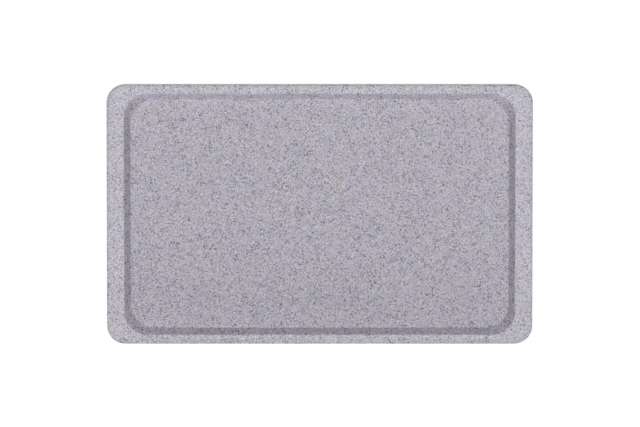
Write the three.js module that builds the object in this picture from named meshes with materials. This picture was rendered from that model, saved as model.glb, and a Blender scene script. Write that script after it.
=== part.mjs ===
// Full-size gastronorm serving tray: a shallow dish pressed from glass-fibre mat and polyester resin,
// with a speckled decor overlay on top, a backing sheet below and a stacking lug under each rim corner.
// Sizes are in millimetres. +X runs along the tray, +Y across it and +Z up.
// The origin is the centre of the underside, on the surface that the tray stands on.

import * as THREE from "three";

// Plan of the rim, of the brink where the rim turns down into the wall, and of the floor
const TRAY_LENGTH = 530;
const TRAY_WIDTH = 325;
const RIM_CORNER_RADIUS = 23;
const END_RIM_WIDTH = 21.4;
const SIDE_RIM_WIDTH = 11.4;
const BRINK_CORNER_RADIUS = 29.4;
const WALL_RUN = 7.9;
const FLOOR_CORNER_RADIUS = 30;

// Section through the three sheets
const WELL_DEPTH = 11;
const DECOR_THICKNESS = 0.3;
const CORE_THICKNESS = 2.4;
const BACKING_THICKNESS = 0.3;
const FOOT_RADIUS = 1.5;
const BRINK_RADIUS = 1.2;
const UNDER_BRINK_RADIUS = 1;

// The rim's outer band, which rolls down to a rounded and trimmed edge
const ROLL_WIDTH = 7;
const ROLL_RADIUS = 28;
const TOP_EDGE_RADIUS = 1.5;
const UNDER_EDGE_RADIUS = 0.8;

// Stacking lugs
const LUG_LENGTH = 16;
const LUG_WIDTH = 8;
const LUG_HEIGHT = 4;
const LUG_CORNER_RADIUS = 3;
const LUG_TAPER = 0.4; // draft of each side from root to tip
const LUG_TIP_RADIUS = 1;

// Facets in each corner of the plan and in each bend of the section
const CORNER_STEPS = 8;
const BEND_STEPS = 3;

const QUARTER_TURN = Math.PI / 2;
const WALL_ANGLE = Math.atan2(WELL_DEPTH, WALL_RUN);
const HALF_BEND = Math.tan(WALL_ANGLE / 2);
const LAMINATE = DECOR_THICKNESS + CORE_THICKNESS + BACKING_THICKNESS;
const RIM_TOP = LAMINATE + WELL_DEPTH;
const RIM_UNDERSIDE = RIM_TOP - LAMINATE;
const ROLL_CENTRE = RIM_TOP - ROLL_RADIUS;

const RIM_PLAN = {
  halfLength: TRAY_LENGTH / 2,
  halfWidth: TRAY_WIDTH / 2,
  radius: RIM_CORNER_RADIUS,
};
const BRINK_PLAN = {
  halfLength: RIM_PLAN.halfLength - END_RIM_WIDTH,
  halfWidth: RIM_PLAN.halfWidth - SIDE_RIM_WIDTH,
  radius: BRINK_CORNER_RADIUS,
};
const FLOOR_PLAN = {
  halfLength: BRINK_PLAN.halfLength - WALL_RUN,
  halfWidth: BRINK_PLAN.halfWidth - WALL_RUN,
  radius: FLOOR_CORNER_RADIUS,
};

// A rounded rectangle drawn in by the same distance all round, or let out if it is negative.
function inset(plan, distance) {
  return {
    halfLength: plan.halfLength - distance,
    halfWidth: plan.halfWidth - distance,
    radius: plan.radius - distance,
  };
}

// The points of a rounded rectangle at one height, anticlockwise from above.
function ring(plan, z) {
  const points = [];
  const corners = [[1, 1], [-1, 1], [-1, -1], [1, -1]];
  corners.forEach(([alongX, alongY], corner) => {
    const centreX = alongX * (plan.halfLength - plan.radius);
    const centreY = alongY * (plan.halfWidth - plan.radius);
    for (let step = 0; step <= CORNER_STEPS; step += 1) {
      const angle = (corner + step / CORNER_STEPS) * QUARTER_TURN;
      const x = centreX + plan.radius * Math.cos(angle);
      const y = centreY + plan.radius * Math.sin(angle);
      points.push(new THREE.Vector3(x, y, z));
    }
  });
  return points;
}

// A closed solid through a row of rings: the first is its flat top, the last its flat underside.
function loft(rings) {
  const count = rings[0].length;
  const faces = [];
  for (let row = 0; row + 1 < rings.length; row += 1) {
    for (let i = 0; i < count; i += 1) {
      const here = row * count + i;
      const next = row * count + ((i + 1) % count);
      faces.push(here, here + count, next + count);
      faces.push(here, next + count, next);
    }
  }
  const lastRow = (rings.length - 1) * count;
  for (const [a, b, c] of THREE.ShapeUtils.triangulateShape(rings[0], [])) {
    faces.push(a, b, c);
  }
  for (const [a, b, c] of THREE.ShapeUtils.triangulateShape(rings.at(-1), [])) {
    faces.push(lastRow + a, lastRow + c, lastRow + b);
  }
  const geometry = new THREE.BufferGeometry().setFromPoints(rings.flat());
  geometry.setIndex(faces);
  geometry.computeVertexNormals();
  return geometry;
}

// Values spaced evenly from one number to another, both included.
function evenly(from, to, steps) {
  return Array.from({ length: steps + 1 }, (_, step) => THREE.MathUtils.lerp(from, to, step / steps));
}

// The round along one corner of the rim's trimmed edge. Its centre lies one radius in from the edge,
// and reach away from the centre of the roll. turn is how far the roll has tilted where the round starts.
function edgeRound(radius, reach, side) {
  const turn = Math.asin((ROLL_WIDTH - radius) / reach);
  return { turn, side, outwards: ROLL_WIDTH - radius, z: ROLL_CENTRE + reach * Math.cos(turn) };
}

const topEdge = edgeRound(TOP_EDGE_RADIUS, ROLL_RADIUS - TOP_EDGE_RADIUS, 1);
const underEdge = edgeRound(UNDER_EDGE_RADIUS, ROLL_RADIUS - LAMINATE + UNDER_EDGE_RADIUS, -1);

// The rings of one face of the laminate, from the floor up the wall and out to the rim's edge.
// depth is the face's distance below the top face, square to it, so its bends lie further out.
function faceRings({ depth, footRadius, brinkRadius, edge, edgeRadius }) {
  const lean = depth * HALF_BEND;
  const rollRadius = ROLL_RADIUS - depth;
  const rings = [];
  for (const turn of evenly(0, WALL_ANGLE, BEND_STEPS)) {
    const distance = footRadius * (HALF_BEND - Math.sin(turn)) - lean;
    const rise = footRadius * (1 - Math.cos(turn));
    rings.push(ring(inset(FLOOR_PLAN, distance), LAMINATE - depth + rise));
  }
  for (const turn of evenly(WALL_ANGLE, 0, BEND_STEPS)) {
    const distance = brinkRadius * (Math.sin(turn) - HALF_BEND) - lean;
    const fall = brinkRadius * (1 - Math.cos(turn));
    rings.push(ring(inset(BRINK_PLAN, distance), RIM_TOP - depth - fall));
  }
  for (const turn of evenly(0, edge.turn, BEND_STEPS)) {
    const outwards = rollRadius * Math.sin(turn);
    rings.push(ring(inset(RIM_PLAN, ROLL_WIDTH - outwards), ROLL_CENTRE + rollRadius * Math.cos(turn)));
  }
  for (const turn of evenly(edge.side * edge.turn, QUARTER_TURN, BEND_STEPS).slice(1)) {
    const outwards = edge.outwards + edgeRadius * Math.sin(turn);
    const z = edge.z + edge.side * edgeRadius * Math.cos(turn);
    rings.push(ring(inset(RIM_PLAN, ROLL_WIDTH - outwards), z));
  }
  return rings;
}

// The four faces that bound the three sheets, from the top down
const topFace = faceRings({
  depth: 0,
  footRadius: FOOT_RADIUS,
  brinkRadius: BRINK_RADIUS,
  edge: topEdge,
  edgeRadius: TOP_EDGE_RADIUS,
});
const coreTopFace = faceRings({
  depth: DECOR_THICKNESS,
  footRadius: FOOT_RADIUS + DECOR_THICKNESS,
  brinkRadius: BRINK_RADIUS - DECOR_THICKNESS,
  edge: topEdge,
  edgeRadius: TOP_EDGE_RADIUS - DECOR_THICKNESS,
});
const coreUnderFace = faceRings({
  depth: LAMINATE - BACKING_THICKNESS,
  footRadius: FOOT_RADIUS + LAMINATE - BACKING_THICKNESS,
  brinkRadius: UNDER_BRINK_RADIUS + BACKING_THICKNESS,
  edge: underEdge,
  edgeRadius: UNDER_EDGE_RADIUS - BACKING_THICKNESS,
});
const underFace = faceRings({
  depth: LAMINATE,
  footRadius: FOOT_RADIUS + LAMINATE,
  brinkRadius: UNDER_BRINK_RADIUS,
  edge: underEdge,
  edgeRadius: UNDER_EDGE_RADIUS,
});

// The narrow band of the core that shows on the trimmed edge, between the two outer sheets
const trimmedEdge = [ring(RIM_PLAN, topEdge.z), ring(RIM_PLAN, underEdge.z)];

const decorFinish = new THREE.MeshStandardMaterial({ color: 0xaba8b1, roughness: 0.5, metalness: 0 });
const coreFinish = new THREE.MeshStandardMaterial({ color: 0x98959b, roughness: 0.7, metalness: 0 });
const backingFinish = new THREE.MeshStandardMaterial({ color: 0xa4a1a9, roughness: 0.6, metalness: 0 });

function namedMesh(name, geometry, material) {
  const mesh = new THREE.Mesh(geometry, material);
  mesh.name = name;
  return mesh;
}

// One lug, hanging from its root at height 0, with drafted sides and a rounded tip.
function lugGeometry() {
  const plan = { halfLength: LUG_LENGTH / 2, halfWidth: LUG_WIDTH / 2, radius: LUG_CORNER_RADIUS };
  const rings = [ring(plan, 0)];
  for (const turn of evenly(0, QUARTER_TURN, BEND_STEPS)) {
    const distance = LUG_TAPER + LUG_TIP_RADIUS * (1 - Math.cos(turn));
    const drop = LUG_HEIGHT - LUG_TIP_RADIUS * (1 - Math.sin(turn));
    rings.push(ring(inset(plan, distance), -drop));
  }
  return loft(rings);
}

// The middle of a rounded rectangle's corner arc, in the corner where x and y are positive.
function cornerMiddle(plan) {
  const reach = plan.radius * (1 - Math.SQRT1_2);
  return new THREE.Vector2(plan.halfLength - reach, plan.halfWidth - reach);
}

// The four lugs, each in the middle of the rim's flat underside at its corner and square to the diagonal.
function stackingLugs() {
  const group = new THREE.Group();
  const flatStart = inset(BRINK_PLAN, -(LAMINATE + UNDER_BRINK_RADIUS) * HALF_BEND);
  const flatEnd = inset(RIM_PLAN, ROLL_WIDTH);
  const place = cornerMiddle(flatStart).lerp(cornerMiddle(flatEnd), 0.5);
  for (const [side, alongY] of [["front", -1], ["back", 1]]) {
    for (const [end, alongX] of [["left", -1], ["right", 1]]) {
      const lug = namedMesh(`stacking_lug_${side}_${end}`, lugGeometry(), coreFinish);
      lug.position.set(alongX * place.x, alongY * place.y, RIM_UNDERSIDE);
      lug.rotation.z = (-alongX * alongY * QUARTER_TURN) / 2;
      group.add(lug);
    }
  }
  return group;
}

const tray = new THREE.Group();
tray.add(
  namedMesh("decor_overlay", loft([...topFace, ...coreTopFace.toReversed()]), decorFinish),
  namedMesh(
    "glass_fibre_core",
    loft([...coreTopFace, ...trimmedEdge, ...coreUnderFace.toReversed()]),
    coreFinish,
  ),
  namedMesh("backing_sheet", loft([...coreUnderFace, ...underFace.toReversed()]), backingFinish),
  stackingLugs(),
);

export default tray;
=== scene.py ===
"""Dresses the gastronorm tray: a shallow polyester tray with a granite speckle, seen from above."""

import math

import bpy
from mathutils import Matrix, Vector


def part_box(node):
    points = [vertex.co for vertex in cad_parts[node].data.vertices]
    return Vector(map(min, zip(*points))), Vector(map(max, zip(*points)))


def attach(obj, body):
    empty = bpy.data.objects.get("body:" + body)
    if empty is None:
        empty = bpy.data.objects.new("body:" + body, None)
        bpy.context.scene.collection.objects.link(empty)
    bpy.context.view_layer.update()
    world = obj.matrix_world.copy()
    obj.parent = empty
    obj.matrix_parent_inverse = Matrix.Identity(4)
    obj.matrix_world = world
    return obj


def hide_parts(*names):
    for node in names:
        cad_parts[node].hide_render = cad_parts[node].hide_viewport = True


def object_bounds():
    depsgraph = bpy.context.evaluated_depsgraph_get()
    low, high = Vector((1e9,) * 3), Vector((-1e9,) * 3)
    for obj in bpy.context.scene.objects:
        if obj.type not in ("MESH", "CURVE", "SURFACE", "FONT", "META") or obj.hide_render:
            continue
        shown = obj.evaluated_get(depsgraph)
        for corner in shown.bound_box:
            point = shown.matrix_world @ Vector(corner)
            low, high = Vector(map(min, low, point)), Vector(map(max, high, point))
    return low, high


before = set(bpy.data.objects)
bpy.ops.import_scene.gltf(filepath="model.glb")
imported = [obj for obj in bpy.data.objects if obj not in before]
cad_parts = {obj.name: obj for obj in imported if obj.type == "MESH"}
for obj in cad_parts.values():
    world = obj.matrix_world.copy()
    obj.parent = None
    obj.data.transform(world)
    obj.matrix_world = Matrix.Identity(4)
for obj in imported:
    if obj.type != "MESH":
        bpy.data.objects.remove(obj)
cad_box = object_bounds()


# Decor sheet
# The speckled top of the tray: a decor sheet soaked in polyester resin, under a clear wear layer.
# It is pressed onto the core in a heated mould, so it runs unbroken over floor, wall and rim.

MM = 0.001
QUARTER_TURN = math.pi / 2
tray_length, tray_width, tray_height = cad_box[1] - cad_box[0]

LAMINATE = 3 * MM  # the thickness of all three sheets together
DECOR_THICKNESS = 0.3 * MM
RIM_CORNER_RADIUS = 23 * MM
END_RIM_WIDTH = 21.4 * MM
SIDE_RIM_WIDTH = 11.4 * MM
BRINK_CORNER_RADIUS = 29.4 * MM
WALL_RUN = 7.9 * MM
FLOOR_CORNER_RADIUS = 30 * MM
FOOT_RADIUS = 1.5 * MM
BRINK_RADIUS = 1.2 * MM
ROLL_WIDTH = 7 * MM
ROLL_RADIUS = 28 * MM
TOP_EDGE_RADIUS = 1.5 * MM

BEND_STEPS = 8
CORNER_STEPS = 24
FLAT_STRETCH = 1.5 * MM  # a longer step from ring to ring is a flat
FLAT_MARGIN = 0.25 * MM  # how close to a bend a flat is held flat

# A plan is a rounded rectangle: half its length, half its width and its corner radius.
rim_plan = (tray_length / 2, tray_width / 2, RIM_CORNER_RADIUS)
brink_plan = (rim_plan[0] - END_RIM_WIDTH, rim_plan[1] - SIDE_RIM_WIDTH, BRINK_CORNER_RADIUS)
floor_plan = (brink_plan[0] - WALL_RUN, brink_plan[1] - WALL_RUN, FLOOR_CORNER_RADIUS)

wall_angle = math.atan2(tray_height - LAMINATE, WALL_RUN)
half_bend = math.tan(wall_angle / 2)
roll_centre = tray_height - ROLL_RADIUS


def evenly(first, last, steps):
    """Values spaced evenly from first to last, both included."""
    return [first + (last - first) * step / steps for step in range(steps + 1)]


def ring(plan, distance, height):
    """A plan drawn in by a distance all round, with its height as a fourth value."""
    return (*(size - distance for size in plan), height)


def middle_line(plan, height):
    """A ring drawn in to a line along the middle of a plan, which closes a piece without a seam."""
    return (plan[0] - plan[1], 0.0, 0.0, height)


def edge_round(radius, reach, side):
    """The round on one corner of the trimmed rim edge, and the tilt of the rolled rim where it starts.

    reach is the distance of its centre from the centre of the roll. side is 1 for the upper corner
    and -1 for the lower one.
    """
    turn = math.asin((ROLL_WIDTH - radius) / reach)
    z = roll_centre + reach * math.cos(turn)
    return {"turn": turn, "side": side, "out": ROLL_WIDTH - radius, "z": z}


top_edge = edge_round(TOP_EDGE_RADIUS, ROLL_RADIUS - TOP_EDGE_RADIUS, 1)


def face_rings(depth, foot_radius, brink_radius, edge, edge_radius):
    """One face of the laminate, from the middle of the floor up the wall and out to the rim's edge.

    depth is the face's distance below the top face, square to it, so its bends lie further out.
    """
    lean = depth * half_bend
    roll_radius = ROLL_RADIUS - depth
    floor_z = LAMINATE - depth
    rings = [middle_line(floor_plan, floor_z)]
    for turn in evenly(0, wall_angle, BEND_STEPS):
        distance = foot_radius * (half_bend - math.sin(turn)) - lean
        rings.append(ring(floor_plan, distance, floor_z + foot_radius * (1 - math.cos(turn))))
    for turn in evenly(wall_angle, 0, BEND_STEPS):
        distance = brink_radius * (math.sin(turn) - half_bend) - lean
        fall = brink_radius * (1 - math.cos(turn))
        rings.append(ring(brink_plan, distance, tray_height - depth - fall))
    for turn in evenly(0, edge["turn"], BEND_STEPS):
        out = roll_radius * math.sin(turn)
        rings.append(ring(rim_plan, ROLL_WIDTH - out, roll_centre + roll_radius * math.cos(turn)))
    for turn in evenly(edge["side"] * edge["turn"], QUARTER_TURN, BEND_STEPS)[1:]:
        out = edge["out"] + edge_radius * math.sin(turn)
        z = edge["z"] + edge["side"] * edge_radius * math.cos(turn)
        rings.append(ring(rim_plan, ROLL_WIDTH - out, z))
    return rings


def hold_flats(rings):
    """Adds a ring near each end of a flat stretch, so that smooth shading stays in the bends."""
    held = rings[:1]
    for before, after in zip(rings, rings[1:]):
        length = max(abs(a - b) for a, b in zip(before, after))
        if length > FLAT_STRETCH:
            for share in (FLAT_MARGIN / length, 1 - FLAT_MARGIN / length):
                held.append(tuple(a + (b - a) * share for a, b in zip(before, after)))
        held.append(after)
    return held


def add_node(tree, kind, inputs=(), **settings):
    """Adds a node, sets its properties, and sets or links its inputs by name or number."""
    node = tree.nodes.new(kind)
    for name, value in settings.items():
        setattr(node, name, value)
    for key, value in dict(inputs).items():
        if isinstance(value, bpy.types.NodeSocket):
            tree.links.new(value, node.inputs[key])
        else:
            node.inputs[key].default_value = value
    return node


def new_tree(name, sockets):
    """A Geometry Nodes tree with geometry in and out and named inputs; returns it and its input node."""
    tree = bpy.data.node_groups.new(name, "GeometryNodeTree")
    tree.interface.new_socket("Geometry", in_out="INPUT", socket_type="NodeSocketGeometry")
    for socket_name, socket_type in sockets.items():
        tree.interface.new_socket(socket_name, in_out="INPUT", socket_type=socket_type)
    tree.interface.new_socket("Geometry", in_out="OUTPUT", socket_type="NodeSocketGeometry")
    return tree, tree.nodes.new("NodeGroupInput")


CRISP_ANGLE = math.radians(38)  # faces that meet more sharply aren't shaded as one


def close_tree(tree, geometry, given):
    """Ends a tree: instances become real, sharp corners stay crisp, and the finish is set."""
    real = add_node(tree, "GeometryNodeRealizeInstances", {"Geometry": geometry})
    smooth = add_node(tree, "GeometryNodeSetShadeSmooth", {"Geometry": real.outputs[0]}, domain="FACE")
    bend = add_node(tree, "GeometryNodeInputMeshEdgeAngle")
    crisp = add_node(
        tree,
        "FunctionNodeCompare",
        {0: bend.outputs["Unsigned Angle"], 1: CRISP_ANGLE},
        operation="GREATER_THAN",
    )
    edges = add_node(
        tree,
        "GeometryNodeSetShadeSmooth",
        {"Geometry": smooth.outputs[0], "Selection": crisp.outputs[0], "Shade Smooth": False},
        domain="EDGE",
    )
    finish = add_node(
        tree,
        "GeometryNodeSetMaterial",
        {"Geometry": edges.outputs[0], "Material": given.outputs["Material"]},
    )
    add_node(tree, "NodeGroupOutput", {"Geometry": finish.outputs[0]})


WELD_DISTANCE = 0.001 * MM

# The loft takes a row of points, one for each ring and each where the ring's corner would be if it
# weren't rounded. It lays a grid with one row of points for each ring, and bends it to the rings.
loft_tree, given = new_tree(
    "rounded_rectangle_loft", {"Corner Steps": "NodeSocketInt", "Material": "NodeSocketMaterial"}
)
corner_points = add_node(
    loft_tree, "ShaderNodeMath", {0: given.outputs["Corner Steps"], 1: 1.0}, operation="ADD"
)
around = add_node(
    loft_tree, "ShaderNodeMath", {0: corner_points.outputs[0], 1: 4.0, 2: 1.0}, operation="MULTIPLY_ADD"
)
ring_count = add_node(
    loft_tree, "GeometryNodeAttributeDomainSize", {"Geometry": given.outputs["Geometry"]}
)
grid = add_node(
    loft_tree,
    "GeometryNodeMeshGrid",
    {"Vertices X": ring_count.outputs["Point Count"], "Vertices Y": around.outputs[0]},
)
# Each point of the grid: its ring, its corner of the ring, and how far it has turned round
index = add_node(loft_tree, "GeometryNodeInputIndex")
row_share = add_node(
    loft_tree, "ShaderNodeMath", {0: index.outputs[0], 1: around.outputs[0]}, operation="DIVIDE"
)
row = add_node(loft_tree, "ShaderNodeMath", {0: row_share.outputs[0]}, operation="FLOOR")
column = add_node(
    loft_tree, "ShaderNodeMath", {0: index.outputs[0], 1: around.outputs[0]}, operation="MODULO"
)
corner_share = add_node(
    loft_tree, "ShaderNodeMath", {0: column.outputs[0], 1: corner_points.outputs[0]}, operation="DIVIDE"
)
corner = add_node(loft_tree, "ShaderNodeMath", {0: corner_share.outputs[0]}, operation="FLOOR")
step = add_node(
    loft_tree, "ShaderNodeMath", {0: column.outputs[0], 1: corner_points.outputs[0]}, operation="MODULO"
)
step_share = add_node(
    loft_tree,
    "ShaderNodeMath",
    {0: step.outputs[0], 1: given.outputs["Corner Steps"]},
    operation="DIVIDE",
)
turns = add_node(
    loft_tree, "ShaderNodeMath", {0: corner.outputs[0], 1: step_share.outputs[0]}, operation="ADD"
)
angle = add_node(
    loft_tree, "ShaderNodeMath", {0: turns.outputs[0], 1: QUARTER_TURN}, operation="MULTIPLY"
)
diagonal = add_node(
    loft_tree,
    "ShaderNodeMath",
    {0: corner.outputs[0], 1: QUARTER_TURN, 2: QUARTER_TURN / 2},
    operation="MULTIPLY_ADD",
)
arc, quadrant = [], []
for operation in ("COSINE", "SINE"):
    arc.append(add_node(loft_tree, "ShaderNodeMath", {0: angle.outputs[0]}, operation=operation))
    swing = add_node(loft_tree, "ShaderNodeMath", {0: diagonal.outputs[0]}, operation=operation)
    quadrant.append(add_node(loft_tree, "ShaderNodeMath", {0: swing.outputs[0]}, operation="SIGN"))
arc_way = add_node(loft_tree, "ShaderNodeCombineXYZ", {"X": arc[0].outputs[0], "Y": arc[1].outputs[0]})
quadrant_way = add_node(
    loft_tree,
    "ShaderNodeCombineXYZ",
    {"X": quadrant[0].outputs[0], "Y": quadrant[1].outputs[0], "Z": 1.0},
)
# The point lies one corner radius away from the centre of its corner, which is turned to its quadrant
place = add_node(loft_tree, "GeometryNodeInputPosition")
ring_corner = add_node(
    loft_tree,
    "GeometryNodeSampleIndex",
    {"Geometry": given.outputs["Geometry"], "Value": place.outputs[0], "Index": row.outputs[0]},
    data_type="FLOAT_VECTOR",
)
radius_name = add_node(loft_tree, "GeometryNodeInputNamedAttribute", {"Name": "corner_radius"})
ring_radius = add_node(
    loft_tree,
    "GeometryNodeSampleIndex",
    {"Geometry": given.outputs["Geometry"], "Value": radius_name.outputs[0], "Index": row.outputs[0]},
)
radius_way = add_node(
    loft_tree, "ShaderNodeCombineXYZ", {"X": ring_radius.outputs[0], "Y": ring_radius.outputs[0]}
)
arc_centre = add_node(
    loft_tree,
    "ShaderNodeVectorMath",
    {0: ring_corner.outputs[0], 1: radius_way.outputs[0]},
    operation="SUBTRACT",
)
turned_centre = add_node(
    loft_tree,
    "ShaderNodeVectorMath",
    {0: arc_centre.outputs[0], 1: quadrant_way.outputs[0]},
    operation="MULTIPLY",
)
ring_point = add_node(
    loft_tree,
    "ShaderNodeVectorMath",
    {0: arc_way.outputs[0], 1: radius_way.outputs[0], 2: turned_centre.outputs[0]},
    operation="MULTIPLY_ADD",
)
lofted = add_node(
    loft_tree,
    "GeometryNodeSetPosition",
    {"Geometry": grid.outputs["Mesh"], "Position": ring_point.outputs[0]},
)
welded = add_node(
    loft_tree, "GeometryNodeMergeByDistance", {"Geometry": lofted.outputs[0], "Distance": WELD_DISTANCE}
)
close_tree(loft_tree, welded.outputs[0], given)


def run_tree(piece, tree, values):
    """Runs a tree on a piece with the given inputs and keeps the result as a plain mesh."""
    modifier = piece.modifiers.new(tree.name, "NODES")
    modifier.node_group = tree
    for item in tree.interface.items_tree:
        if item.name in values:
            modifier[item.identifier] = values[item.name]
    evaluated = piece.evaluated_get(bpy.context.evaluated_depsgraph_get())
    made = bpy.data.meshes.new_from_object(evaluated)
    piece.modifiers.remove(modifier)
    piece.data = made
    return piece


def loft(name, rings, material):
    """A closed, smooth piece through the rings, made by the loft tree."""
    line = bpy.data.meshes.new(name)
    line.from_pydata([(length, width, z) for length, width, _, z in rings], [], [])
    radii = line.attributes.new("corner_radius", "FLOAT", "POINT")
    radii.data.foreach_set("value", [radius for _, _, radius, _ in rings])
    piece = bpy.data.objects.new(name, line)
    bpy.context.scene.collection.objects.link(piece)
    return run_tree(piece, loft_tree, {"Corner Steps": CORNER_STEPS, "Material": material})


def linear(colour):
    """An sRGB hex colour as linear red, green, blue and alpha."""
    shares = [int(colour[i : i + 2], 16) / 255 for i in (1, 3, 5)]
    return [c / 12.92 if c <= 0.04045 else ((c + 0.055) / 1.055) ** 2.4 for c in shares] + [1.0]


def new_material(name):
    """A new node material; returns it with its tree, its shader and the object's own coordinates."""
    material = bpy.data.materials.new(name)
    material.use_nodes = True
    tree = material.node_tree
    coordinates = add_node(tree, "ShaderNodeTexCoord").outputs["Object"]
    return material, tree, tree.nodes["Principled BSDF"], coordinates


MIX_A, MIX_B, MIX_RESULT = 6, 7, 2  # the colour sockets of a Mix node
NOISE_LOW, NOISE_MIDDLE, NOISE_HIGH = 0.35, 0.5, 0.65  # most of a noise lies between low and high
RELIEF_DEPTH = 0.05 * MM  # of the fine grain in each of the tray's finishes

# Granite-speckled polyester, pressed against a satin mould: a pale lilac-grey ground clouded warm and
# cool, with soft grey grain, small ragged dark and pale flecks, a few dark fibres and a soft gloss.
# Painted light: the rim is painted paler than the floor, by a lift that grows with height, for the
# brighter light that falls on it above the well. The flecks of the real sheet are about 0.5 mm across and
# are drawn twice as coarse, so that they show at the size of the picture.
GROUND_COOL, GROUND_WARM, GROUND_DEEP = "#bab5c9", "#bfbac2", "#8c8896"
GREY_GRAIN, PALE_GRAIN = "#8a8691", "#d6d3de"
DARK_FLECK, PALE_FLECK, FIBRE = "#3b3646", "#d8d5df", "#5e5966"
# painted light: the colour added to make the rim paler than the floor
RIM_PAINTED_LIGHT = "#535353"
NOISE_SLANT = (0.6, 0.4, 0.9)  # radians, so that neither floor nor rim lies along the noise's own grid
CLOUD_SIZE = 26 * MM
BLOOM_SIZE = 9 * MM
BLOOM_DEEP = 0.2  # share of the deep ground where the bloom is full
BLOOM_SPARSE, BLOOM_CROWDED = 0.75, 1.1  # how much the flecks shrink and swell with the bloom
GRAIN_SIZE = 1.35 * MM
GRAIN_MIDDLE, GRAIN_REACH = 0.52, 0.16  # the grain is grey below its middle and pale above it
RAGGED_SIZE, RAGGED_DEPTH = 1.1 * MM, 2.2 * MM
DARK_SPACING, PALE_SPACING = 2.1 * MM, 3.2 * MM
SMALLEST_FLECK, LARGEST_DARK, LARGEST_PALE = 0.1, 0.485, 0.32  # radii, as shares of the spacing
FLECK_EDGE = 0.06  # the soft edge of a fleck, as a share of the spacing
FIBRE_CURL, FIBRE_SPREAD = 5 * MM, 4 * MM
FIBRE_FULL, FIBRE_FADED = 0.014, 0.022  # how far off the noise's middle a fibre is full, and gone
PATCH_LOW, PATCH_HIGH = 0.6, 0.64  # fibres fade in where the spread's noise goes from low to high
# painted light: the heights over which the rim's painted lift grows from nothing to full
RIM_LIGHT_START, RIM_LIGHT_FULL = 0.86 * tray_height, 0.98 * tray_height
PEEL_SIZE, PEEL_STRENGTH = 1.4 * MM, 0.25
SATIN_LOW, SATIN_HIGH = 0.32, 0.46  # roughness where the grain is lowest and highest
POLYESTER_IOR = 1.5

decor, tree, shader, coordinates = new_material("granite_polyester_satin")
slant = add_node(tree, "ShaderNodeMapping", {"Vector": coordinates, "Rotation": NOISE_SLANT}).outputs[0]
# The ground, clouded warm and cool, with deeper blooms and with grain
cloud = add_node(tree, "ShaderNodeTexNoise", {"Vector": slant, "Scale": 1 / CLOUD_SIZE, "Detail": 1.0})
tint = add_node(
    tree,
    "ShaderNodeMapRange",
    {"Value": cloud.outputs[0], "From Min": NOISE_LOW, "From Max": NOISE_HIGH},
)
ground = add_node(
    tree,
    "ShaderNodeMix",
    {0: tint.outputs[0], MIX_A: linear(GROUND_COOL), MIX_B: linear(GROUND_WARM)},
    data_type="RGBA",
)
bloom = add_node(tree, "ShaderNodeTexNoise", {"Vector": slant, "Scale": 1 / BLOOM_SIZE, "Detail": 1.0})
deep_share = add_node(
    tree,
    "ShaderNodeMapRange",
    {"Value": bloom.outputs[0], "From Min": NOISE_LOW, "From Max": NOISE_HIGH, "To Max": BLOOM_DEEP},
)
grain = add_node(tree, "ShaderNodeTexNoise", {"Vector": slant, "Scale": 1 / GRAIN_SIZE, "Detail": 2.0})
grey_share = add_node(
    tree,
    "ShaderNodeMapRange",
    {"Value": grain.outputs[0], "From Min": GRAIN_MIDDLE, "From Max": GRAIN_MIDDLE - GRAIN_REACH},
)
pale_share = add_node(
    tree,
    "ShaderNodeMapRange",
    {"Value": grain.outputs[0], "From Min": GRAIN_MIDDLE, "From Max": GRAIN_MIDDLE + GRAIN_REACH},
)
# The flecks: one ragged chip in each cell of a pattern, each of its own size
rag = add_node(tree, "ShaderNodeTexNoise", {"Vector": slant, "Scale": 1 / RAGGED_SIZE, "Detail": 1.0})
ragged = add_node(
    tree,
    "ShaderNodeVectorMath",
    {0: rag.outputs[1], 1: [RAGGED_DEPTH] * 3, 2: slant},
    operation="MULTIPLY_ADD",
)
crowd = add_node(
    tree,
    "ShaderNodeMapRange",
    {
        "Value": bloom.outputs[0],
        "From Min": NOISE_LOW,
        "From Max": NOISE_HIGH,
        "To Min": BLOOM_SPARSE,
        "To Max": BLOOM_CROWDED,
    },
)
fleck_shares = []
for spacing, largest in ((DARK_SPACING, LARGEST_DARK), (PALE_SPACING, LARGEST_PALE)):
    fleck = add_node(tree, "ShaderNodeTexVoronoi", {"Vector": ragged.outputs[0], "Scale": 1 / spacing})
    chance = add_node(tree, "ShaderNodeSeparateColor", {0: fleck.outputs["Color"]})
    radius = add_node(
        tree,
        "ShaderNodeMapRange",
        {"Value": chance.outputs[0], "To Min": SMALLEST_FLECK, "To Max": largest},
    )
    reach = add_node(
        tree, "ShaderNodeMath", {0: radius.outputs[0], 1: crowd.outputs[0]}, operation="MULTIPLY"
    )
    inside = add_node(
        tree, "ShaderNodeMath", {0: reach.outputs[0], 1: fleck.outputs["Distance"]}, operation="SUBTRACT"
    )
    share = add_node(tree, "ShaderNodeMapRange", {"Value": inside.outputs[0], "From Max": FLECK_EDGE})
    fleck_shares.append(share)
# The fibres: short lengths of the lines along which a noise has its middle value
curl = add_node(tree, "ShaderNodeTexNoise", {"Vector": slant, "Scale": 1 / FIBRE_CURL, "Detail": 0.0})
off_line = add_node(tree, "ShaderNodeMath", {0: curl.outputs[0], 1: NOISE_MIDDLE}, operation="SUBTRACT")
from_line = add_node(tree, "ShaderNodeMath", {0: off_line.outputs[0]}, operation="ABSOLUTE")
line_share = add_node(
    tree,
    "ShaderNodeMapRange",
    {"Value": from_line.outputs[0], "From Min": FIBRE_FADED, "From Max": FIBRE_FULL},
)
scatter = add_node(
    tree, "ShaderNodeTexNoise", {"Vector": slant, "Scale": 1 / FIBRE_SPREAD, "Detail": 0.0}
)
scatter_share = add_node(
    tree,
    "ShaderNodeMapRange",
    {"Value": scatter.outputs[0], "From Min": PATCH_LOW, "From Max": PATCH_HIGH},
)
fibre_share = add_node(
    tree, "ShaderNodeMath", {0: line_share.outputs[0], 1: scatter_share.outputs[0]}, operation="MULTIPLY"
)
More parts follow.
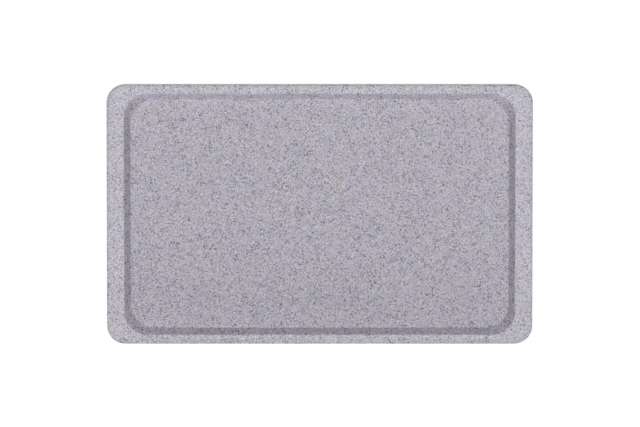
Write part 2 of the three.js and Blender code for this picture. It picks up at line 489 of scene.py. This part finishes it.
# The layers over the ground, from the lowest up, and the painted light that lifts the rim paler
colour = ground.outputs[MIX_RESULT]
for share, layer in (
    (deep_share, GROUND_DEEP),
    (grey_share, GREY_GRAIN),
    (pale_share, PALE_GRAIN),
    (fibre_share, FIBRE),
    (fleck_shares[0], DARK_FLECK),
    (fleck_shares[1], PALE_FLECK),
):
    laid = add_node(
        tree,
        "ShaderNodeMix",
        {0: share.outputs[0], MIX_A: colour, MIX_B: linear(layer)},
        data_type="RGBA",
    )
    colour = laid.outputs[MIX_RESULT]
# Painted light: the colour is lifted paler with height towards the rim, standing in for the brighter light
# there
height = add_node(tree, "ShaderNodeSeparateXYZ", {0: coordinates})
rim_light_share = add_node(
    tree,
    "ShaderNodeMapRange",
    {"Value": height.outputs["Z"], "From Min": RIM_LIGHT_START, "From Max": RIM_LIGHT_FULL},
)
rim_lit_colour = add_node(
    tree,
    "ShaderNodeVectorMath",
    {0: linear(RIM_PAINTED_LIGHT)[:3], 1: rim_light_share.outputs[0], 2: colour},
    operation="MULTIPLY_ADD",
)
peel = add_node(tree, "ShaderNodeTexNoise", {"Vector": slant, "Scale": 1 / PEEL_SIZE, "Detail": 2.0})
relief = add_node(
    tree,
    "ShaderNodeBump",
    {"Height": peel.outputs[0], "Strength": PEEL_STRENGTH, "Distance": RELIEF_DEPTH},
)
gloss = add_node(
    tree, "ShaderNodeMapRange", {"Value": grain.outputs[0], "To Min": SATIN_LOW, "To Max": SATIN_HIGH}
)
tree.links.new(rim_lit_colour.outputs[0], shader.inputs["Base Color"])
tree.links.new(gloss.outputs[0], shader.inputs["Roughness"])
tree.links.new(relief.outputs[0], shader.inputs["Normal"])
shader.inputs["IOR"].default_value = POLYESTER_IOR

top_face = face_rings(0, FOOT_RADIUS, BRINK_RADIUS, top_edge, TOP_EDGE_RADIUS)
core_top_face = face_rings(
    DECOR_THICKNESS,
    FOOT_RADIUS + DECOR_THICKNESS,
    BRINK_RADIUS - DECOR_THICKNESS,
    top_edge,
    TOP_EDGE_RADIUS - DECOR_THICKNESS,
)
decor_sheet = loft("decor_sheet", hold_flats(top_face) + hold_flats(core_top_face)[::-1], decor)
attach(decor_sheet, "root")
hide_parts("decor_overlay")


# Core
# The load-carrying middle of the tray: glass-fibre mat in polyester resin, cured under the press.
# It shows only as a narrow band on the rim's edge, where the pressing is trimmed and sanded.

BACKING_THICKNESS = 0.3 * MM
UNDER_BRINK_RADIUS = 1 * MM
UNDER_EDGE_RADIUS = 0.8 * MM

# Sanded glass-fibre polyester: a duller grey than the decor, streaked along the edge by the strands
# of the mat.
RESIN, STRAND = "#8d8a92", "#a9a6ad"
STRAND_LENGTH, STRAND_WIDTH = 6 * MM, 0.4 * MM
STREAK_LOW, STREAK_HIGH = 0.4, 0.6
SANDING_STRENGTH = 0.3
SANDED_ROUGHNESS = 0.65

core_finish, tree, shader, coordinates = new_material("glass_fibre_polyester_sanded")
lie = add_node(
    tree,
    "ShaderNodeMapping",
    {"Vector": coordinates, "Scale": (1 / STRAND_LENGTH, 1 / STRAND_LENGTH, 1 / STRAND_WIDTH)},
)
strands = add_node(tree, "ShaderNodeTexNoise", {"Vector": lie.outputs[0], "Scale": 1.0, "Detail": 3.0})
streaks = add_node(
    tree,
    "ShaderNodeMapRange",
    {"Value": strands.outputs[0], "From Min": STREAK_LOW, "From Max": STREAK_HIGH},
)
streaked = add_node(
    tree,
    "ShaderNodeMix",
    {0: streaks.outputs[0], MIX_A: linear(RESIN), MIX_B: linear(STRAND)},
    data_type="RGBA",
)
sanding = add_node(
    tree,
    "ShaderNodeBump",
    {"Height": strands.outputs[0], "Strength": SANDING_STRENGTH, "Distance": RELIEF_DEPTH},
)
tree.links.new(streaked.outputs[MIX_RESULT], shader.inputs["Base Color"])
tree.links.new(sanding.outputs[0], shader.inputs["Normal"])
shader.inputs["Roughness"].default_value = SANDED_ROUGHNESS

under_edge = edge_round(UNDER_EDGE_RADIUS, ROLL_RADIUS - LAMINATE + UNDER_EDGE_RADIUS, -1)
core_under_face = face_rings(
    LAMINATE - BACKING_THICKNESS,
    FOOT_RADIUS + LAMINATE - BACKING_THICKNESS,
    UNDER_BRINK_RADIUS + BACKING_THICKNESS,
    under_edge,
    UNDER_EDGE_RADIUS - BACKING_THICKNESS,
)
trimmed_edge = [ring(rim_plan, 0, top_edge["z"]), ring(rim_plan, 0, under_edge["z"])]
core_rings = hold_flats(core_top_face) + trimmed_edge + hold_flats(core_under_face)[::-1]
core_sheet = loft("core_sheet", core_rings, core_finish)
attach(core_sheet, "root")
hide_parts("glass_fibre_core")


# Backing sheet
# The underside of the tray: a plain resin-soaked sheet that balances the decor, so that the tray
# stays flat. It is cured to the core in the same press and takes a matt face from the lower mould.

# Matt polyester: the decor's grey without its flecks, faintly mottled, with the lower mould's grain.
BACKING_GREY, BACKING_PALE = "#9c99a2", "#adaab2"
MOTTLE_SIZE = 3 * MM
MOULD_GRAIN = 0.8 * MM
BACKING_STRENGTH = 0.4  # how strongly the mould's grain shows
BACKING_ROUGHNESS = 0.6

backing_finish, tree, shader, coordinates = new_material("polyester_backing_matt")
mottle = add_node(
    tree, "ShaderNodeTexNoise", {"Vector": coordinates, "Scale": 1 / MOTTLE_SIZE, "Detail": 3.0}
)
mottle_share = add_node(
    tree,
    "ShaderNodeMapRange",
    {"Value": mottle.outputs[0], "From Min": NOISE_LOW, "From Max": NOISE_HIGH},
)
mottled = add_node(
    tree,
    "ShaderNodeMix",
    {0: mottle_share.outputs[0], MIX_A: linear(BACKING_GREY), MIX_B: linear(BACKING_PALE)},
    data_type="RGBA",
)
mould = add_node(
    tree, "ShaderNodeTexNoise", {"Vector": coordinates, "Scale": 1 / MOULD_GRAIN, "Detail": 2.0}
)
mould_relief = add_node(
    tree,
    "ShaderNodeBump",
    {"Height": mould.outputs[0], "Strength": BACKING_STRENGTH, "Distance": RELIEF_DEPTH},
)
tree.links.new(mottled.outputs[MIX_RESULT], shader.inputs["Base Color"])
tree.links.new(mould_relief.outputs[0], shader.inputs["Normal"])
shader.inputs["Roughness"].default_value = BACKING_ROUGHNESS

under_face = face_rings(
    LAMINATE, FOOT_RADIUS + LAMINATE, UNDER_BRINK_RADIUS, under_edge, UNDER_EDGE_RADIUS
)
backing_rings = hold_flats(core_under_face) + hold_flats(under_face)[::-1]
backing_skin = loft("backing_skin", backing_rings, backing_finish)
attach(backing_skin, "root")
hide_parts("backing_sheet")


# Stacking lugs
# Four short studs under the rim's corners, moulded with the tray, which hold nested trays apart.
# Each hangs square to the diagonal, flared where it leaves the rim and rounded at its tip.

LUG_LENGTH, LUG_WIDTH, LUG_CORNER_RADIUS = 16 * MM, 8 * MM, 3 * MM
LUG_TAPER = 0.4 * MM  # draft of each side from root to tip
LUG_TIP_RADIUS = 1 * MM
LUG_ROOT_RADIUS = 0.8 * MM
LUG_NAMES = [f"stacking_lug_{side}_{end}" for side in ("front", "back") for end in ("left", "right")]

# Moulded glass-fibre polyester: the core's grey behind a thin skin of resin, so its chopped strands show
# only as soft pale wisps that lie every way, and the surface has the fine grain of the lower mould.
WISP_SIZE, WISP_TWIST = 1.6 * MM, 1.5
WISP_LOW, WISP_HIGH = 0.45, 0.75
LUG_STRENGTH = 0.3  # how strongly the mould's grain shows
LUG_ROUGHNESS = 0.55

lug_finish, tree, shader, coordinates = new_material("glass_fibre_polyester_moulded")
wisp = add_node(
    tree,
    "ShaderNodeTexNoise",
    {"Vector": coordinates, "Scale": 1 / WISP_SIZE, "Detail": 2.0, "Distortion": WISP_TWIST},
)
wisp_share = add_node(
    tree,
    "ShaderNodeMapRange",
    {"Value": wisp.outputs[0], "From Min": WISP_LOW, "From Max": WISP_HIGH},
)
wispy = add_node(
    tree,
    "ShaderNodeMix",
    {0: wisp_share.outputs[0], MIX_A: linear(RESIN), MIX_B: linear(STRAND)},
    data_type="RGBA",
)
skin = add_node(
    tree, "ShaderNodeTexNoise", {"Vector": coordinates, "Scale": 1 / MOULD_GRAIN, "Detail": 2.0}
)
skin_relief = add_node(
    tree,
    "ShaderNodeBump",
    {"Height": skin.outputs[0], "Strength": LUG_STRENGTH, "Distance": RELIEF_DEPTH},
)
tree.links.new(wispy.outputs[MIX_RESULT], shader.inputs["Base Color"])
tree.links.new(skin_relief.outputs[0], shader.inputs["Normal"])
shader.inputs["Roughness"].default_value = LUG_ROUGHNESS

lug_low, lug_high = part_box("stacking_lug_back_right")
lug_centre = (lug_low + lug_high) / 2
lug_height = lug_high.z - lug_low.z
lug_plan = (LUG_LENGTH / 2, LUG_WIDTH / 2, LUG_CORNER_RADIUS)
root_taper = LUG_TAPER * LUG_ROOT_RADIUS / (lug_height - LUG_TIP_RADIUS)
lug_rings = [middle_line(lug_plan, 0.0)]
for turn in evenly(0, QUARTER_TURN, BEND_STEPS):
    flare = LUG_ROOT_RADIUS * (1 - math.sin(turn))
    lug_rings.append(ring(lug_plan, root_taper - flare, LUG_ROOT_RADIUS * (math.cos(turn) - 1)))
for turn in evenly(0, QUARTER_TURN, BEND_STEPS):
    distance = LUG_TAPER + LUG_TIP_RADIUS * (1 - math.cos(turn))
    lug_rings.append(ring(lug_plan, distance, LUG_TIP_RADIUS * (1 - math.sin(turn)) - lug_height))
lug_rings.append(middle_line(lug_plan, -lug_height))

# This tree sets the piece that it is given at the four corners of a rectangle, turned by the same
# angle one way at two of them and the other way at the other two.
corner_tree, given = new_tree(
    "lugs_under_corners",
    {
        "Spread X": "NodeSocketFloat",
        "Spread Y": "NodeSocketFloat",
        "Root Height": "NodeSocketFloat",
        "Turn": "NodeSocketFloat",
        "Material": "NodeSocketMaterial",
    },
)
corners = add_node(
    corner_tree,
    "GeometryNodeMeshGrid",
    {
        "Size X": given.outputs["Spread X"],
        "Size Y": given.outputs["Spread Y"],
        "Vertices X": 2,
        "Vertices Y": 2,
    },
)
corner_place = add_node(corner_tree, "GeometryNodeInputPosition")
corner_xyz = add_node(corner_tree, "ShaderNodeSeparateXYZ", {0: corner_place.outputs[0]})
corner_side = add_node(
    corner_tree,
    "ShaderNodeMath",
    {0: corner_xyz.outputs["X"], 1: corner_xyz.outputs["Y"]},
    operation="MULTIPLY",
)
corner_sign = add_node(corner_tree, "ShaderNodeMath", {0: corner_side.outputs[0]}, operation="SIGN")
corner_turn = add_node(
    corner_tree,
    "ShaderNodeMath",
    {0: corner_sign.outputs[0], 1: given.outputs["Turn"]},
    operation="MULTIPLY",
)
corner_rotation = add_node(corner_tree, "ShaderNodeCombineXYZ", {"Z": corner_turn.outputs[0]})
root_offset = add_node(corner_tree, "ShaderNodeCombineXYZ", {"Z": given.outputs["Root Height"]})
raised = add_node(
    corner_tree,
    "GeometryNodeSetPosition",
    {"Geometry": corners.outputs["Mesh"], "Offset": root_offset.outputs[0]},
)
placed = add_node(
    corner_tree,
    "GeometryNodeInstanceOnPoints",
    {
        "Points": raised.outputs[0],
        "Instance": given.outputs["Geometry"],
        "Rotation": corner_rotation.outputs[0],
    },
)
close_tree(corner_tree, placed.outputs[0], given)

stacking_lugs = loft("stacking_lugs", lug_rings, lug_finish)
run_tree(
    stacking_lugs,
    corner_tree,
    {
        "Spread X": 2 * lug_centre.x,
        "Spread Y": 2 * lug_centre.y,
        "Root Height": lug_high.z,
        "Turn": -QUARTER_TURN / 2,
        "Material": lug_finish,
    },
)
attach(stacking_lugs, "root")
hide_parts(*LUG_NAMES)


# Table
# A flat sheet of matt white card that the tray stands on, far wider than the picture.
# It takes the tray's soft shadow, and its lit part runs out to a plain white background.

TABLE_RADIUS, TABLE_SIDES = 14.0, 64
TABLE_WHITE = "#f2f2f2"
TABLE_GLOW = 0.55  # seen directly, the lit table clips to the photograph's white
TABLE_ROUGHNESS = 0.9

table_mesh = bpy.data.meshes.new("table")
table_mesh.from_pydata(
    [
        (TABLE_RADIUS * math.cos(turn), TABLE_RADIUS * math.sin(turn), 0.0)
        for turn in evenly(0, 4 * QUARTER_TURN, TABLE_SIDES)[:-1]
    ],
    [],
    [tuple(range(TABLE_SIDES))],
)
table = bpy.data.objects.new("table", table_mesh)
bpy.context.scene.collection.objects.link(table)
table_finish, tree, shader, _ = new_material("white_card_matt")
shader.inputs["Base Color"].default_value = linear(TABLE_WHITE)
shader.inputs["Roughness"].default_value = TABLE_ROUGHNESS
shader.inputs["Specular IOR Level"].default_value = 0.0


def direct_rays(tree):
    """1 for rays from the camera, from a reflection or through glass, which see the white background."""
    path = add_node(tree, "ShaderNodeLightPath")
    seen = add_node(
        tree,
        "ShaderNodeMath",
        {0: path.outputs["Is Camera Ray"], 1: path.outputs["Is Glossy Ray"]},
        operation="MAXIMUM",
    )
    direct = add_node(
        tree,
        "ShaderNodeMath",
        {0: seen.outputs[0], 1: path.outputs["Is Transmission Ray"]},
        operation="MAXIMUM",
    )
    return direct.outputs[0]


glow = add_node(tree, "ShaderNodeMath", {0: direct_rays(tree), 1: TABLE_GLOW}, operation="MULTIPLY")
shader.inputs["Emission Color"].default_value = linear("#ffffff")
tree.links.new(glow.outputs[0], shader.inputs["Emission Strength"])
table_mesh.materials.append(table_finish)


# Light and camera
# A wide soft light hangs over the tray, with a low fill on the near side and a higher one off each end, in
# a white room. The camera looks almost straight down through a long lens, from over the far side.

ROOM_LIGHT = 0.1
world = bpy.data.worlds.new("white_room")
bpy.context.scene.world = world
world.use_nodes = True
tree = world.node_tree
room = tree.nodes["Background"]
room.inputs["Color"].default_value = linear("#ffffff")
room_strength = add_node(
    tree, "ShaderNodeMapRange", {"Value": direct_rays(tree), "To Min": ROOM_LIGHT, "To Max": 1.0}
)
tree.links.new(room_strength.outputs[0], room.inputs["Strength"])

TRAY_FOOT = Vector((0, 0, 0))  # the middle of the underside, which every light faces


def soft_light(name, place, size, power):
    """A rectangular area light, with its place and size in metres and its power in watts."""
    lamp = bpy.data.lights.new(name, "AREA")
    lamp.shape = "RECTANGLE"
    lamp.size, lamp.size_y = size
    lamp.energy = power
    light = bpy.data.objects.new(name, lamp)
    light.location = place
    light.rotation_euler = (TRAY_FOOT - light.location).to_track_quat("-Z", "Y").to_euler()
    light.visible_camera = False
    bpy.context.scene.collection.objects.link(light)


soft_light("overhead_softbox", place=(0, 0.3, 4.0), size=(3.0, 1.2), power=79.0)
soft_light("near_side_fill", place=(0, -4.0, 0.56), size=(2.4, 0.5), power=52.0)
for end, way in (("left", -1), ("right", 1)):
    soft_light(f"{end}_end_fill", place=(way * 1.0, 0, 0.85), size=(0.8, 0.5), power=2.3)

VIEW_DISTANCE = 12.0
VIEW_TILT = math.radians(6.3)
VIEW_WIDTH = 796.7 * MM  # what the picture takes in from side to side, at the height of the rim
VIEW_CENTRE = Vector((0.4 * MM, 1.15 * MM, tray_height))
SENSOR_WIDTH = 36
lens = bpy.data.cameras.new("camera")
lens.sensor_width = SENSOR_WIDTH
lens.lens = SENSOR_WIDTH * VIEW_DISTANCE / VIEW_WIDTH
camera = bpy.data.objects.new("camera", lens)
away = Vector((0, math.sin(VIEW_TILT), math.cos(VIEW_TILT)))
camera.location = VIEW_CENTRE + away * VIEW_DISTANCE
camera.rotation_euler = (-VIEW_TILT, 0, 0)
bpy.context.scene.collection.objects.link(camera)
bpy.context.scene.camera = camera
bpy.context.scene.view_settings.view_transform = "Standard"
